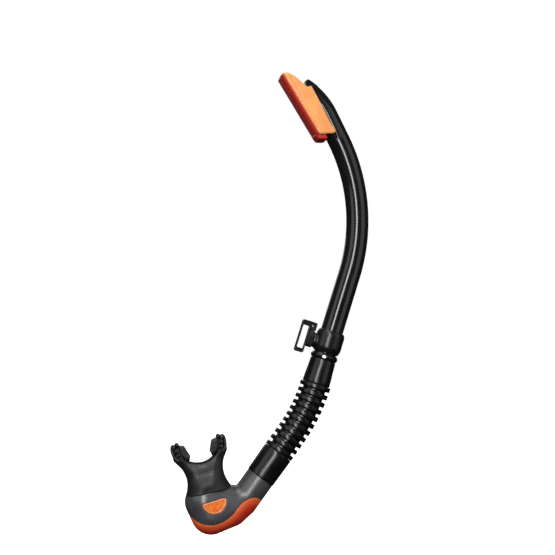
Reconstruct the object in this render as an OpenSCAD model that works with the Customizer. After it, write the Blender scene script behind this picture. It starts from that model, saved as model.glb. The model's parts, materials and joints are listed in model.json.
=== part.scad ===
// Semi-dry snorkel: a bent barrel under a splash hood, a strap keeper, a swivelling flexible hose,
// and a purge chamber with a silicone mouthpiece.
//
// The whole object lies in the XZ plane and is the same on both sides of it. The origin is the centre
// of the strap slot. A lean is an angle from +Z towards +X, and a point in the plane is [x, z].

/* [Barrel] */
// Outer diameter of the barrel
barrel_d = 21.8; // [21:0.1:22.5]
// Wall of the barrel
barrel_wall = 1.6; // [1.4:0.1:1.8]
// Lean of the barrel's straight lower stretch
barrel_lean = 17.5; // [15:0.5:20]
// Distance from the strap slot to the barrel's axis
slot_to_barrel = 25.8; // [25.6:0.1:27]
// Height of the bend's start above the strap slot, along the barrel
bend_start = 72; // [55:1:80]
// Radius of the bend, at the barrel's axis
bend_r = 178; // [160:1:200]
// Lean of the barrel's upper stretch
top_lean = -26.4; // [-30:0.2:-24]
// Length of the upper stretch, up to the barrel's open mouth
top_length = 26; // [24:0.5:28]

/* [Spine and hood] */
// Radius of the spine's curl, at the barrel's axis
curl_r = 65; // [62:1:70]
// Lean of the spine at its hooked tip
tip_lean = -59; // [-62:1:-55]
// Width of the hood, across the snorkel's plane
hood_w = 27; // [26.6:0.2:30]
// Wall of the hood
hood_wall = 1.5; // [1.2:0.1:1.6]
// Lean of the hood
hood_lean = -31.4; // [-32:0.2:-31]
// Radius of the hood's front corners
hood_corner_r = 7; // [5:0.5:8]

/* [Keeper and strap loop] */
// Height of the keeper's collar
collar_h = 21.6; // [18:0.2:22]
// Wall of the collar at its widest
collar_wall = 2.85; // [2.4:0.05:3]
// Width of the strap slot, across the strap's thickness
slot_w = 6; // [5:0.5:6]
// Length of the strap slot, across the strap's width
slot_l = 22.6; // [20:0.2:23]
// Thickness of the loop, across the snorkel's plane
loop_t = 4.4; // [3.5:0.1:6]
// Diameter of the swivel hub
hub_d = 16.4; // [15:0.2:17]
// Diameter of the swivel stud's shank
stud_d = 4.4; // [4:0.1:5]

/* [Hose] */
// Number of ribs along the hose's bend
bent_ribs = 8; // [6:1:8]
// Radius of the hose's bend, at its axis
hose_bend_r = 164.9; // [160:0.1:170]
// Angle from rib to rib along the bend
rib_step = 2.3; // [2.1:0.1:2.3]
// Angle that a rib takes up along the bend
rib_angle = 1.1; // [0.9:0.1:1.3]
// Number of ribs along the straight rest of it
straight_ribs = 3; // [2:1:4]
// Distance from rib to rib along the straight
rib_pitch = 6.6; // [6:0.1:7]
// Outer diameter of the ribs
rib_d = 29; // [27:0.5:30]
// Thickness of a rib along the straight
rib_t = 3.2; // [2.6:0.1:3.6]
// Outer diameter of the hose between its ribs
groove_d = 23.3; // [23:0.1:24.5]
// Lean of the lower cuff and of the chamber's neck
neck_lean = 36.3; // [34:0.2:40]
// Length of the lower cuff
lower_cuff = 29; // [27:0.5:32]

/* [Chamber] */
// Outer diameter of the chamber's neck
neck_d = 28; // [26:0.2:29]
// Wall of the chamber
chamber_wall = 2.2; // [2:0.1:2.4]
// Thickness of the purge cover
cover_t = 2; // [1.8:0.1:2.1]
// Travel of the purge valve
valve_travel = 1.5; // [0.5:0.1:1.5]
// Radius of the purge valve's disc
valve_r = 8.8; // [8:0.1:9]

/* [Mouthpiece] */
// Lean of the mouthpiece
mouth_lean = -12; // [-14:0.5:-10]
// Width of the mouthpiece's base, in the snorkel's plane
base_w = 44.4; // [43:0.2:45]
// Depth of the mouthpiece's base, across the snorkel's plane
base_d = 34; // [32:0.5:35]
// Height of the duct, from the base to the flange
duct_h = 28; // [26:0.5:30]

/* [Hidden] */
$fn = 64;
e = 0.5; // overlap of pieces that are joined or cut through
step = 0.02; // where two stretches of tube overlap, one is this much stouter than the other
running = 0.05; // radial clearance of a running fit
seat_gap = 0.1; // gap between pieces that are fixed to each other

black = [0.03, 0.03, 0.035];
rubber_black = [0.05, 0.05, 0.055];
charcoal = [0.23, 0.23, 0.25];
orange = [0.95, 0.32, 0.07];
steel = [0.75, 0.76, 0.78];
silicone = [0.80, 0.80, 0.78];

// The point `up` mm along a lean from p and `out` mm to the side, and the end of an arc whose centre
// lies to the left of it, from lean a to lean b
function from(p, lean, up, out = 0) =
    p + up * [sin(lean), cos(lean)] + out * [cos(lean), -sin(lean)];
function arc_end(p, a, b, r) = p + r * [cos(b) - cos(a), sin(a) - sin(b)];

// Barrel: stations along its straight lower stretch are measured from the strap slot
barrel_r = barrel_d / 2;
bore_r = barrel_r - barrel_wall;
axis_foot = from([0, 0], barrel_lean, 0, slot_to_barrel);
bend_foot = from(axis_foot, barrel_lean, bend_start);
bend_top = arc_end(bend_foot, barrel_lean, top_lean, bend_r);
mouth_point = from(bend_top, top_lean, top_length);
shoulder = -9.2;
journal_r = 9.6;
journal_bore_r = 8.2;
journal_end = -34;
pin_groove_r = 9;
spine_front = -2.6; // the spine's front edge, from the barrel's axis
rail_w = 3.1;

// Hood: its points are measured from its foot, rearwards and up its lean
hood_foot = [9.1, 195.5];
hood_front = 1.5;
hood_open = 39.5; // height up to which its back is open
chin_half = 11; // half the width of the chin, which curls in under the hood's front
chin_back = 10.9;

// Keeper
collar_foot = -8.6;
collar_r = barrel_r + collar_wall + running;
boss_face = slot_to_barrel - collar_r - 0.9; // where the swivel's washer lies
boss_r = 7.2;
washer_t = 0.7;
hub_back = boss_face - washer_t - 2 * seat_gap;
hub_front = slot_w / 2 + 1.6;
stud_head_r = 3.7;
stud_head_t = 1.8;
loop_side = 1.5;
loop_left = 1.9;
loop_top = 5;
loop_foot = 4;
arm_end = 9.6; // how far the clip arm reaches over the hub

// Hose connector
flange_top = shoulder - 0.2;
flange_foot = -15.6;
flange_r = 13.3;
sleeve_r = 11.1;
sleeve_end = -37;
pin_station = -13;
pin_turn = -10; // the pin sits a little to the left of the side that faces -Y
pin_r = 1.4;
ring_r = 0.8;
ring_seat_r = 11.3;

// Hose
hose_bore_r = 10;
upper_cuff_top = flange_foot - 0.2;
upper_cuff_foot = -40;
hose_top = from(axis_foot, barrel_lean, upper_cuff_foot);
hose_land = 1.3; // plain hose between the lower cuff and its first rib's groove
straight_length = hose_land + straight_ribs * rib_pitch;
hose_bend_foot = arc_end(hose_top, barrel_lean, neck_lean, hose_bend_r);
hose_foot = from(hose_bend_foot, neck_lean, -straight_length);
cuff_r = 14.9;
spigot_r = 12;
spigot_bore_r = 10.2;
spigot_length = 25;
cuff_face = seat_gap - lower_cuff; // foot of the lower cuff, just above the chamber's neck

// Chamber: its points are measured from the seam between the neck and the lower cuff
seam = from(hose_foot, neck_lean, -lower_cuff);
neck_r = neck_d / 2;
neck_length = 28;
lobe_left = [-52.7, -21.5, 19];
lobe_low = [-46.7, -33.5, 19.3];
lobe_right = [-28.7, -28.5, 17.6];
neck_end = from([0, 0], neck_lean, -neck_length);
cover_gap = 0.2;
shell_in_cover = cover_t + cover_gap;
port = [-49.2, -12]; // centre of the seam with the mouthpiece
port_half = 22.4;
port_ring_w = 36;
port_ring_d = 27;
port_ring_h = 8;
port_wall = 1.6;
mouth_wall = 2.2;
arc_centre = [5.1, 44.4]; // centre of the right-hand bite tab's arc

// Purge valve: it opens outwards, along valve_lean, from a point on the chamber's long axis
valve_foot = ([lobe_low.x, lobe_low.y] + [lobe_right.x, lobe_right.y]) / 2;
valve_lean = 164.5;
seat_level = 8.6;
seat_t = 1.6;
well_r = valve_r + 0.8;
well_wall = 1.4;

// Side badge: a half-moon with its straight edge uppermost
badge_centre = [-45.5, -19.4];
badge_r = 11.6;
badge_tilt = -11;
badge_t = 1;

module at(point, lean) {
    translate([point.x, 0, point.y]) rotate([0, lean, 0]) children();
}

module on_barrel() {
    at(axis_foot, barrel_lean) children();
}

// Sweeps a flat section along an arc, from one angle above the arc's level foot to another. The foot is
// at the origin, and the arc's centre lies r to the left of it.
module sweep(r, start, end) {
    translate([-r, 0, 0]) rotate([90, 0, 0])
        rotate_extrude(angle = end - start, start = start, $fn = 180)
            translate([r, 0]) children();
}

module ring(outer, inner) {
    difference() {
        circle(outer);
        circle(inner);
    }
}

// A flat outline in the snorkel's plane, made `width` thick across it
module across(width) {
    rotate([90, 0, 0]) linear_extrude(width, center = true) children();
}

module stadium(w, d) {
    for (side = [-1, 1]) translate([side * (w - d) / 2, 0]) circle(d = d);
    square([w - d, d], center = true);
}

// ---- barrel, spine and hood ----

module in_hood() {
    at(hood_foot, hood_lean) children();
}

// Side view of the hood: x runs from its front to its rear, y from its foot to its top
module hood_outline() {
    offset(r = 2.5) offset(delta = -2.5)
        polygon([[hood_front, -1.5], [5.5, -7.5], [11, -9.9], [20.6, -10], [22.6, 27], [23.4, 42.8],
            [18.6, 44.2], [17.6, 48.6], [12, 63], [7, 67], [hood_front, 66]]);
}

// Side view of the notch under each of the hood's cheeks, beside its chin
module cheek_notch() {
    polygon([[0, -20], [0, -1], [4.6, -2.4], [17.8, -8.8], [22, -8.8], [22, -20]]);
}

module hood_section(inset) {
    front = hood_front + inset;
    half = hood_w / 2 - inset;
    r = hood_corner_r - inset;
    for (side = [-1, 1]) translate([front + r, side * (half - r)]) circle(r);
    translate([front, r - half]) square([2 * r, 2 * (half - r)]);
    translate([front + r, -half]) square([40, 2 * half]);
}

module hood() {
    color(orange) in_hood() difference() {
        intersection() {
            across(hood_w + 2) hood_outline();
            translate([0, 0, -20]) linear_extrude(100) hood_section(0);
        }
        intersection() {
            across(hood_w) offset(delta = -hood_wall) {
                hood_outline();
                translate([chin_back - hood_wall, -40]) square([45, 40 + hood_open + hood_wall]);
            }
            translate([0, 0, -45]) linear_extrude(120) hood_section(hood_wall);
        }
        for (side = [-1, 1]) translate([0, side * (chin_half + 5), 0]) across(10) cheek_notch();
    }
}

// A louvred plate that hangs in the hood and turns spray back
module splash_baffle() {
    plate_t = 1.2;
    louvres = 3;
    width = hood_w - 2 * hood_wall - 2 * seat_gap;
    color(black) in_hood() {
        translate([8, -width / 2, 26]) cube([plate_t, width, 33]);
        for (i = [0:louvres - 1]) translate([8.4, 0, 29 + 7 * i])
            rotate([0, 35, 0]) translate([0, -width / 2, 0]) cube([4.2, width, plate_t]);
    }
}

// Section of the barrel's top: a tube with a rail on each side, which locates the hood's side walls
module top_section() {
    out = hood_w / 2 - hood_wall - seat_gap;
    difference() {
        union() {
            circle(barrel_r + step);
            translate([spine_front, -out]) square([rail_w, 2 * out]);
        }
        circle(bore_r - step);
    }
}

// The rear of the barrel's top runs on past its mouth as a spine, whose tip hooks over the hood
module barrel_top() {
    translate([0, 0, -1]) linear_extrude(top_length + 1) top_section();
    translate([0, 0, top_length]) sweep(curl_r, 0, top_lean - tip_lean) intersection() {
        top_section();
        translate([spine_front, -hood_w / 2]) square(hood_w);
    }
}

module barrel() {
    color(black) {
        on_barrel() {
            rotate_extrude() polygon([[journal_bore_r, journal_end], [journal_r, journal_end],
                [journal_r, pin_station - 1.6], [pin_groove_r, pin_station - 1.6],
                [pin_groove_r, pin_station + 1.6], [journal_r, pin_station + 1.6],
                [journal_r, shoulder], [barrel_r, shoulder], [barrel_r, bend_start],
                [bore_r, bend_start], [bore_r, shoulder + 5], [journal_bore_r, shoulder + 1]]);
            translate([0, 0, bend_start]) sweep(bend_r, 0, barrel_lean - top_lean)
                ring(barrel_r, bore_r);
        }
        difference() {
            at(bend_top, top_lean) barrel_top();
            in_hood() intersection() {
                across(hood_w + 2) offset(delta = seat_gap) hood_outline();
                translate([0, -hood_w / 2, hood_open - seat_gap]) cube([40, hood_w, 60]);
            }
        }
    }
}

// ---- keeper and strap loop ----

// Places what it turns about the swivel's axis, which runs from the slot to the barrel
module on_swivel(station) {
    at([0, 0], barrel_lean) translate([station, 0, 0]) rotate([0, 90, 0]) children();
}

module keeper_collar() {
    top = collar_foot + collar_h;
    inner = barrel_r + running;
    color(black) difference() {
        union() {
            on_barrel() rotate_extrude() polygon([[inner, collar_foot], [inner + 1.2, collar_foot],
                [collar_r, collar_foot + 4], [collar_r, top - 3], [inner + 1.3, top], [inner, top]]);
            on_swivel(boss_face) cylinder(h = 4, r = boss_r);
        }
        on_barrel() translate([0, 0, -20]) cylinder(h = 40, r = inner);
        on_swivel(boss_face - e) cylinder(h = 6, d = stud_d);
    }
}

module swivel_stud() {
    head = hub_front + 0.3;
    foot = slot_to_barrel - barrel_r - 0.3;
    color(steel) {
        on_swivel(head) cylinder(h = stud_head_t, r = stud_head_r);
        on_swivel(head + stud_head_t - e) cylinder(h = foot - head - stud_head_t + e, d = stud_d);
    }
}

module swivel_washer() {
    color(steel) on_swivel(boss_face - seat_gap - washer_t) difference() {
        cylinder(h = washer_t, r = boss_r - 1);
        translate([0, 0, -e]) cylinder(h = 2, r = stud_d / 2 + running);
    }
}

module swivel_hub() {
    grips = 20;
    head_seat = hub_front + 0.3 + stud_head_t + seat_gap;
    color(black) difference() {
        on_swivel(hub_front) cylinder(h = hub_back - hub_front, d = hub_d);
        on_swivel(hub_front - e) cylinder(h = 12, r = stud_d / 2 + running);
        on_swivel(hub_front - e) cylinder(h = head_seat - hub_front + e, r = stud_head_r + 0.3);
        on_swivel(hub_front - e) for (i = [0:grips - 1])
            rotate([0, 0, (i + 0.5) * 360 / grips]) translate([hub_d / 2, 0, 0])
                cylinder(h = 12, r = 0.7, $fn = 24);
    }
}

module strap_loop() {
    left = -slot_w / 2 - loop_left;
    foot = -slot_l / 2 - loop_foot;
    top = slot_l / 2 + loop_top;
    arm_foot = hub_d / 2 + 0.3;
    color(black) at([0, 0], barrel_lean) {
        across(loop_t) difference() {
            hull() for (x = [left + 1.8, slot_w / 2 + loop_side - 1.8], z = [foot + 1.8, top - 1.8])
                translate([x, z]) circle(1.8);
            square([slot_w, slot_l], center = true);
        }
        across(loop_t) translate([slot_w / 2, top - 3.2]) square([arm_end - slot_w / 2, 3.2]);
        across(loop_t) translate([arm_end - 2, arm_foot]) square([2, top - arm_foot]);
    }
}

// ---- hose and its connector ----

module pin_hole(depth, r, out) {
    on_barrel() translate([0, 0, pin_station]) rotate([0, 0, pin_turn]) rotate([90, 0, 0])
        translate([0, 0, out - depth]) cylinder(h = depth, r = r);
}

module hose_connector() {
    color(black) difference() {
        on_barrel() rotate_extrude() polygon([[journal_r + running, sleeve_end],
            [sleeve_r, sleeve_end], [sleeve_r, flange_foot], [flange_r - 1.2, flange_foot],
            [flange_r, flange_foot + 2], [flange_r, flange_top - 2.4],
            [flange_r - 1.6, flange_top], [ring_seat_r, flange_top],
            [ring_seat_r, flange_top - 1.8], [journal_r + running, flange_top - 1.8]]);
        pin_hole(8, pin_r, flange_r + 1);
        pin_hole(2, 2.4, flange_r + 1);
    }
}

module hose_o_ring() {
    color(rubber_black) on_barrel() translate([0, 0, flange_top - 0.9])
        rotate_extrude() translate([journal_r + ring_r + 0.06, 0]) circle(ring_r, $fn = 24);
}

module connector_pin() {
    tip = pin_groove_r + 0.2;
    color(steel) pin_hole(flange_r - 0.6 - tip, pin_r - 0.02, flange_r - 0.6);
}

// The hose's bend, hung from its level top: below the last rib the groove runs on to the straight
module hose_bend() {
    turn = neck_lean - barrel_lean;
    for (i = [0:bent_ribs]) {
        rib_foot = -(i + 1) * rib_step;
        sweep(hose_bend_r, i < bent_ribs ? rib_foot + rib_angle : -turn, -i * rib_step)
            ring(groove_d / 2, hose_bore_r);
        if (i < bent_ribs) sweep(hose_bend_r, rib_foot, rib_foot + rib_angle)
            ring(rib_d / 2, hose_bore_r);
    }
}

// Half outline of the hose's straight and its lower cuff, from the cuff's foot upwards
function lower_outline() = concat(
    [[hose_bore_r - step, spigot_length + 0.2 - lower_cuff],
        [spigot_r + running, spigot_length + 0.2 - lower_cuff],
        [spigot_r + running, cuff_face], [neck_r + 0.4, cuff_face], [cuff_r, 0],
        [groove_d / 2 + step, 0]],
    [for (i = [0:straight_ribs - 1])
        let (foot = hose_land + (rib_pitch - rib_t) / 2 + i * rib_pitch)
            each [[groove_d / 2 + step, foot], [rib_d / 2, foot], [rib_d / 2, foot + rib_t],
                [groove_d / 2 + step, foot + rib_t]]],
    [[groove_d / 2 + step, straight_length + 1], [hose_bore_r - step, straight_length + 1]]);

module flex_hose() {
    color(rubber_black) {
        on_barrel() {
            rotate_extrude() polygon([[hose_bore_r, upper_cuff_foot], [13.5, upper_cuff_foot],
                [12.4, upper_cuff_top], [sleeve_r + running, upper_cuff_top],
                [sleeve_r + running, sleeve_end - 0.2], [hose_bore_r, sleeve_end - 0.2]]);
            translate([0, 0, upper_cuff_foot]) hose_bend();
        }
        at(hose_foot, neck_lean) rotate_extrude() polygon(lower_outline());
    }
}

// ---- chamber, purge valve and cover ----

module in_chamber() {
    translate([seam.x, 0, seam.y]) children();
}

module lobe(l, inset) {
    translate([l.x, 0, l.y]) sphere(l.z - inset, $fn = 32);
}

// The chamber's outer form, or that form drawn in by an inset
module pod(inset) {
    hull() {
        lobe(lobe_left, inset);
        lobe(lobe_low, inset);
        lobe(lobe_right, inset);
        lobe([neck_end.x, neck_end.y, neck_r], inset);
    }
}

module neck(inset) {
    at(neck_end, neck_lean) cylinder(h = neck_length, r = neck_r - inset);
}

// Side view of what the purge cover takes in: a hump under the neck, and a band under the left lobe
module cover_zone(grow) {
    across(60) difference() {
        union() {
            translate([5, -60]) circle(45 + grow, $fn = 120);
            translate([-75, -80]) square([46, 47.9 + grow]);
        }
        translate([-48.5, -14.5]) circle(27 - grow, $fn = 120);
    }
}

module on_valve(level) {
    at(valve_foot, valve_lean) translate([0, 0, level]) children();
}

module badge_zone(grow) {
    at(badge_centre, badge_tilt) across(60) intersection() {
        circle(badge_r + grow);
        translate([-20, -20]) square([40, 20 + grow]);
    }
}

// Everything above the seam with the mouthpiece
module above_port() {
    at(port, mouth_lean) translate([-40, -30, 0]) cube([40 + port_half, 60, 30]);
}

module chamber() {
    inner = cover_gap + cover_t + chamber_wall;
    color(charcoal) in_chamber() {
        difference() {
            union() {
                difference() {
                    pod(0);
                    cover_zone(cover_gap);
                }
                pod(shell_in_cover);
                neck(0);
            }
            difference() {
                pod(chamber_wall);
                cover_zone(chamber_wall);
            }
            pod(inner);
            difference() {
                badge_zone(seat_gap);
                pod(badge_t + seat_gap);
            }
            intersection() {
                cover_zone(cover_gap);
                difference() {
                    neck(-1);
                    neck(shell_in_cover);
                    pod(shell_in_cover);
                }
            }
            at(neck_end, neck_lean) cylinder(h = neck_length + e, r = spigot_bore_r);
            on_valve(seat_level - 0.8) cylinder(h = 20, r = well_r);
            above_port();
        }
        at([0, 0], neck_lean) difference() {
            translate([0, 0, -e]) cylinder(h = spigot_length + e, r = spigot_r);
            translate([0, 0, -2]) cylinder(h = spigot_length + 4, r = spigot_bore_r);
        }
        at(port, mouth_lean) translate([0, 0, -4]) linear_extrude(port_ring_h + 4) difference() {
            stadium(port_ring_w, port_ring_d);
            stadium(port_ring_w - 2 * port_wall, port_ring_d - 2 * port_wall);
        }
        well();
    }
}

// The short tube that holds the valve seat, open towards the cover
module well() {
    intersection() {
        pod(shell_in_cover);
        on_valve(seat_level - 0.8) difference() {
            cylinder(h = 12, r = well_r + well_wall);
            translate([0, 0, 0.8]) cylinder(h = 12, r = well_r);
            translate([0, 0, -e]) cylinder(h = 2, r = well_r - 1);
        }
    }
}

module valve_seat() {
    spokes = 4;
    color(charcoal) in_chamber() on_valve(seat_level) difference() {
        cylinder(h = seat_t, r = well_r - seat_gap);
        difference() {
            translate([0, 0, -e]) cylinder(h = seat_t + 2 * e, r = valve_r - 1.2);
            translate([0, 0, -1]) cylinder(h = seat_t + 2, r = 3);
            for (i = [0:spokes / 2 - 1]) rotate([0, 0, i * 360 / spokes])
                translate([-20, -0.8, -1]) cube([40, 1.6, seat_t + 2]);
        }
        translate([0, 0, -2]) cylinder(h = seat_t + 4, r = 1.5);
    }
}

module purge_valve() {
    face = seat_level + seat_t + 0.05;
    barb_top = seat_level - valve_travel - 0.1;
    color(silicone) in_chamber() {
        on_valve(face) cylinder(h = 0.8, r = valve_r);
        on_valve(barb_top - 2) cylinder(h = face - barb_top + 2 + e / 2, r = 1.3);
        on_valve(barb_top - 2) cylinder(h = 2, r1 = 1.35, r2 = 2.2);
    }
}

module purge_cover() {
    slots = 4;
    color(orange) in_chamber() difference() {
        intersection() {
            union() {
                pod(0);
                neck(0);
            }
            cover_zone(0);
        }
        pod(cover_t);
        neck(cover_t);
        for (i = [0:slots - 1], side = [-1, 1])
            on_valve(10) translate([(i - (slots - 1) / 2) * 4.4, side * 4.6, 0])
                linear_extrude(12) rotate(90) stadium(6.2, 2.2);
    }
}

module badge(side) {
    color(orange) in_chamber() intersection() {
        badge_zone(0);
        difference() {
            pod(0);
            pod(badge_t);
        }
        translate([-75, side > 0 ? 0 : -30, -60]) cube([60, 30, 60]);
    }
}

// ---- mouthpiece ----

// The duct's outline at four levels, [height, width in the snorkel's plane, depth across it]
duct_levels = [[0.2, base_w, base_d], [8.5, 38.8, 31.2], [15, 36, 27.2], [duct_h, 42, 20]];

module duct_slice(i, inset) {
    reach = i == 0 ? -2 * inset : i == len(duct_levels) - 1 ? 2 * inset : 0;
    level = duct_levels[i];
    translate([0, 0, level[0] + reach]) linear_extrude(0.5)
        stadium(level[1] - 2 * inset, level[2] - 2 * inset);
}

module duct(inset) {
    for (i = [1:len(duct_levels) - 1]) hull() {
        duct_slice(i - 1, inset);
        duct_slice(i, inset);
    }
}

// Part of a ring about the centre of a bite tab's arc, between two angles above the level
module arc_block(inner, outer, thick, low, high) {
    translate([arc_centre.x, 0, arc_centre.y]) rotate([90, 0, 0])
        rotate_extrude(angle = high - low, start = low, $fn = 96)
            translate([inner, -thick / 2]) square([outer - inner, thick]);
}

// One bite tab: an outer wall, a bite plate and an inner lug with a flat inner face
module bite_tab() {
    arc_block(19.1, 21.5, 13, -50, 12);
    arc_block(11, 20, 3.4, -56, 17);
    intersection() {
        arc_block(6, 13.4, 12.4, -60, 5);
        translate([arc_centre.x, 0, arc_centre.y]) rotate([0, 20, 0])
            translate([7.6, -10, -20]) cube([10, 20, 40]);
    }
}

module mouthpiece() {
    color(rubber_black) in_chamber() at(port, mouth_lean) {
        difference() {
            union() {
                duct(0);
                translate([0, 0, duct_h - 1.5]) linear_extrude(2.5) stadium(44, 21.5);
            }
            duct(mouth_wall);
            translate([0, 0, -e]) linear_extrude(port_ring_h + e + seat_gap)
                stadium(port_ring_w + 2 * seat_gap, port_ring_d + 2 * seat_gap);
        }
        translate([-0.9, 0, 0]) for (side = [0, 1]) mirror([side, 0, 0]) bite_tab();
    }
}

hood();
splash_baffle();
barrel();
keeper_collar();
swivel_stud();
swivel_washer();
swivel_hub();
strap_loop();
hose_connector();
hose_o_ring();
connector_pin();
flex_hose();
chamber();
valve_seat();
purge_valve();
purge_cover();
badge(-1);  // badge_near
badge(1);  // badge_far
mouthpiece();
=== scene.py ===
"""The looks of a semi-dry snorkel, built around its CAD frame.

Pieces with soft or blended forms are written as distance fields, in millimetres, and turned into
smooth closed meshes. The hose is turned about its bent axis. Everything lies in the XZ plane and is
the same on both sides of it. A lean is an angle from +Z towards +X, in degrees.
"""
import json
import math

import bpy
import numpy as np
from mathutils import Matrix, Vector

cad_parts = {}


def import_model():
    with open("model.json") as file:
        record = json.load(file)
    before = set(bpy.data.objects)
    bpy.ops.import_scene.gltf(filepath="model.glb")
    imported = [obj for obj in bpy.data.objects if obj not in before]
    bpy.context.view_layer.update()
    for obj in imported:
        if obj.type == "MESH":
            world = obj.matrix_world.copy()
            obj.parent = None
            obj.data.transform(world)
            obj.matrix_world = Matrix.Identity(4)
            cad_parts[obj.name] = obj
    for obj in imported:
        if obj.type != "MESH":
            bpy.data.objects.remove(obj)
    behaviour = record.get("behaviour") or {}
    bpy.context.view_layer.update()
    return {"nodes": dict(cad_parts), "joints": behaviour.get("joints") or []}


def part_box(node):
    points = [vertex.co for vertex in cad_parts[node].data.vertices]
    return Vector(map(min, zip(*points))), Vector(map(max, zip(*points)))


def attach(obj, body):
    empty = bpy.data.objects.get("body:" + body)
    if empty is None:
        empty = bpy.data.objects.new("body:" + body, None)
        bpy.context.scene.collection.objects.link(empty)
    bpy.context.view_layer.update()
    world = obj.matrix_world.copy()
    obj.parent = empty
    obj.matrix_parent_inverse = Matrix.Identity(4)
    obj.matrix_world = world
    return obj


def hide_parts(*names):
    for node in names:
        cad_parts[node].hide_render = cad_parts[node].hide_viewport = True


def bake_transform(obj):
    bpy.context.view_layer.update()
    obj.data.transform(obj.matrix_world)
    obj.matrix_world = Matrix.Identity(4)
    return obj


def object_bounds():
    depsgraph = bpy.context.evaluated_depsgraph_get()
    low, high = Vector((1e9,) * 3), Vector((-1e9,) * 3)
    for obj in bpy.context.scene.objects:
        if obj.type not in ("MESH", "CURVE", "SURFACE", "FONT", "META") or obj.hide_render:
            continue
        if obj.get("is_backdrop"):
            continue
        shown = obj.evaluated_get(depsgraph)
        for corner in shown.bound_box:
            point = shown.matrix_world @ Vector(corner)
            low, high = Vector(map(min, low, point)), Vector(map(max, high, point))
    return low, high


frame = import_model()
joints = {joint["name"]: joint for joint in frame["joints"]}

M = 1000.0  # millimetres in a metre

# ---- sizes, in millimetres and degrees; stations along the barrel start at the strap slot ----
BARREL_R = 10.9
BORE_R = 9.3
BEND_START = 72
BEND_R = 178
TOP_LEAN = -26.4
TOP_LENGTH = 26
CURL_R = 65
TIP_LEAN = -59
JOURNAL_R = 9.6
JOURNAL_END = -34
SHOULDER = -9.2

HOOD_FOOT = (9.1, 195.5)
HOOD_LEAN = -31.4
HOOD_HALF = 13.5
HOOD_WALL = 1.5
HOOD_FRONT = 1.5

COLLAR_FOOT = -8.6
COLLAR_TOP = 13.0
COLLAR_R = 13.75
FLANGE_FOOT = -15.6
CUFF_TOP = -15.8
CUFF_FOOT = -40
HOSE_BEND_R = 164.9
HOSE_BORE_R = 10
RIB_R = 15.0
GROOVE_R = 11.15
RIB_T = 4.1
NECK_LEAN = 36.3
LOWER_CUFF = 29
STRAIGHT_HOSE = 21.1
NECK_R = 14
NECK_LENGTH = 28


# ---- points and frames in the snorkel's plane ----

def along(point, lean, up, out=0.0):
    """The point `up` mm along a lean from a point, and `out` mm to the side."""
    a = math.radians(lean)
    return (point[0] + up * math.sin(a) + out * math.cos(a),
            point[1] + up * math.cos(a) - out * math.sin(a))


def arc_end(point, start, end, radius):
    """The end of an arc whose centre lies to the left of a point, from one lean to another."""
    a, b = math.radians(start), math.radians(end)
    return (point[0] + radius * (math.cos(b) - math.cos(a)),
            point[1] + radius * (math.sin(a) - math.sin(b)))


turn = joints["keeper_turn"]
BARREL_LEAN = math.degrees(math.atan2(turn["axis"][0], turn["axis"][2]))
AXIS_FOOT = (turn["pos_m"][0] * M, turn["pos_m"][2] * M)
BEND_FOOT = along(AXIS_FOOT, BARREL_LEAN, BEND_START)
BEND_TOP = arc_end(BEND_FOOT, BARREL_LEAN, TOP_LEAN, BEND_R)
MOUTH = along(BEND_TOP, TOP_LEAN, TOP_LENGTH)
HOSE_TOP = along(AXIS_FOOT, BARREL_LEAN, CUFF_FOOT)
HOSE_BEND_FOOT = arc_end(HOSE_TOP, BARREL_LEAN, NECK_LEAN, HOSE_BEND_R)
HOSE_FOOT = along(HOSE_BEND_FOOT, NECK_LEAN, -STRAIGHT_HOSE)
SEAM = along(HOSE_FOOT, NECK_LEAN, -LOWER_CUFF)

# Chamber: its points are measured from the seam between the neck and the hose
LOBE_LEFT = (-52.7, -21.5, 19)
LOBE_LOW = (-46.7, -33.5, 19.3)
LOBE_RIGHT = (-28.7, -28.5, 17.6)
NECK_END = along((0, 0), NECK_LEAN, -NECK_LENGTH)
PORT = (-49.2, -12)
PORT_LEAN = -12
PORT_HALF = 22.4
COVER_T = 2
COVER_GAP = 0.2
WALL = 2.2
VALVE = (-37.7, -31)
VALVE_LEAN = 164.5
WELL_LEVEL = 7.8
WELL_R = 9.6


def local(p, origin, lean):
    """Coordinates in a leaning frame: x across it, y as before, z along it."""
    a = math.radians(lean)
    dx, dz = p[0] - origin[0], p[2] - origin[1]
    return (dx * math.cos(a) - dz * math.sin(a), p[1], dx * math.sin(a) + dz * math.cos(a))


# ---- distance fields ----

def smooth_min(a, b, k):
    h = np.maximum(k - np.abs(a - b), 0) / k
    return np.minimum(a, b) - h * h * k / 4


def smooth_max(a, b, k):
    return -smooth_min(-a, -b, k)


def least(*fields):
    out = fields[0]
    for field in fields[1:]:
        out = np.minimum(out, field)
    return out


def most(*fields):
    out = fields[0]
    for field in fields[1:]:
        out = np.maximum(out, field)
    return out


def box2(u, v, half_u, half_v, radius=0.0):
    """A rectangle with rounded corners."""
    du, dv = np.abs(u) - half_u + radius, np.abs(v) - half_v + radius
    outside = np.hypot(np.maximum(du, 0), np.maximum(dv, 0))
    return outside + np.minimum(np.maximum(du, dv), 0) - radius


def slab(field, w, half, radius):
    """A flat field made 2 * half thick along w, with its rim rounded."""
    a, b = field + radius, np.abs(w) - half + radius
    return np.minimum(np.maximum(a, b), 0) + np.hypot(np.maximum(a, 0), np.maximum(b, 0)) - radius


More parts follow.
